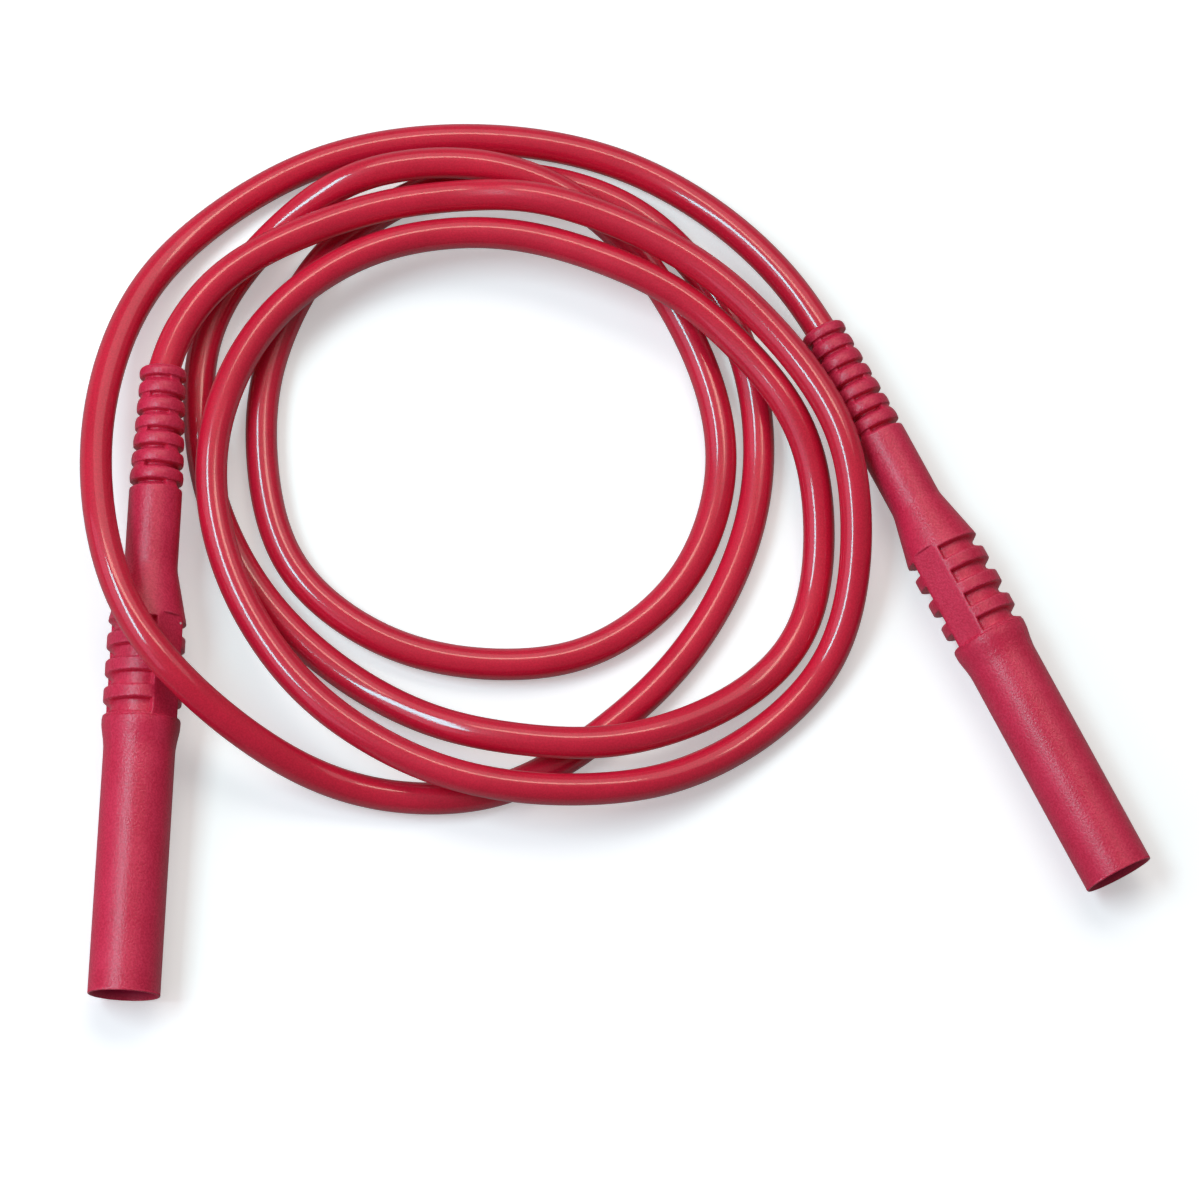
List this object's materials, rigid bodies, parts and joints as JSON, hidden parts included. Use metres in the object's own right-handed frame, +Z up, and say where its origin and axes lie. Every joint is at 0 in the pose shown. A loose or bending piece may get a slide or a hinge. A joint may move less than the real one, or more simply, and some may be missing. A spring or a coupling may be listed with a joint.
{
  "type": "xlr cable coil",
  "caption": "Loosely coiled flexible lead with a moulded shrouded plug, slotted strain relief and ribbed grip at each end.",
  "frame": {"origin": "on the floor under the middle of the part's box", "axes": "+Z up from the floor; +X from the left plug towards the right plug, along the longest side; -Y the way that both mouths point, more or less"},
  "size_m": [0.1256, 0.109, 0.0144],
  "materials": {
    "cable": "satin, flexible cable jacket",
    "boot": "moulded, matte with a fine grain",
    "shroud": "moulded, matte with a fine grain",
    "insulator": "moulded, matte",
    "contact": "turned and nickel plated",
    "spring": "rolled sheet, plated",
    "copper": "bare strands"
  },
  "bodies": {
    "lead": {"cable_coil": "cable", "left_cable_jacket": "cable", "left_conductor": "copper", "left_boot": "boot", "left_shroud": "shroud", "left_insulator": "insulator", "left_contact_pin": "contact", "right_cable_jacket": "cable", "right_conductor": "copper", "right_boot": "boot", "right_shroud": "shroud", "right_insulator": "insulator", "right_contact_pin": "contact"},
    "left_cage": {"left_contact_cage": "spring"},
    "right_cage": {"right_contact_cage": "spring"}
  },
  "joints": [
    {"name": "left_cage_turn", "type": "hinge", "parent": "lead", "child": "left_cage", "pos_m": [-0.05657, -0.04075, 0.00466], "axis": [-0.0523, -0.998, -0.0349], "continuous": true},
    {"name": "right_cage_turn", "type": "hinge", "parent": "lead", "child": "right_cage", "pos_m": [0.0532, -0.02855, 0.00465], "axis": [0.4384, -0.8988, 0], "continuous": true}
  ]
}
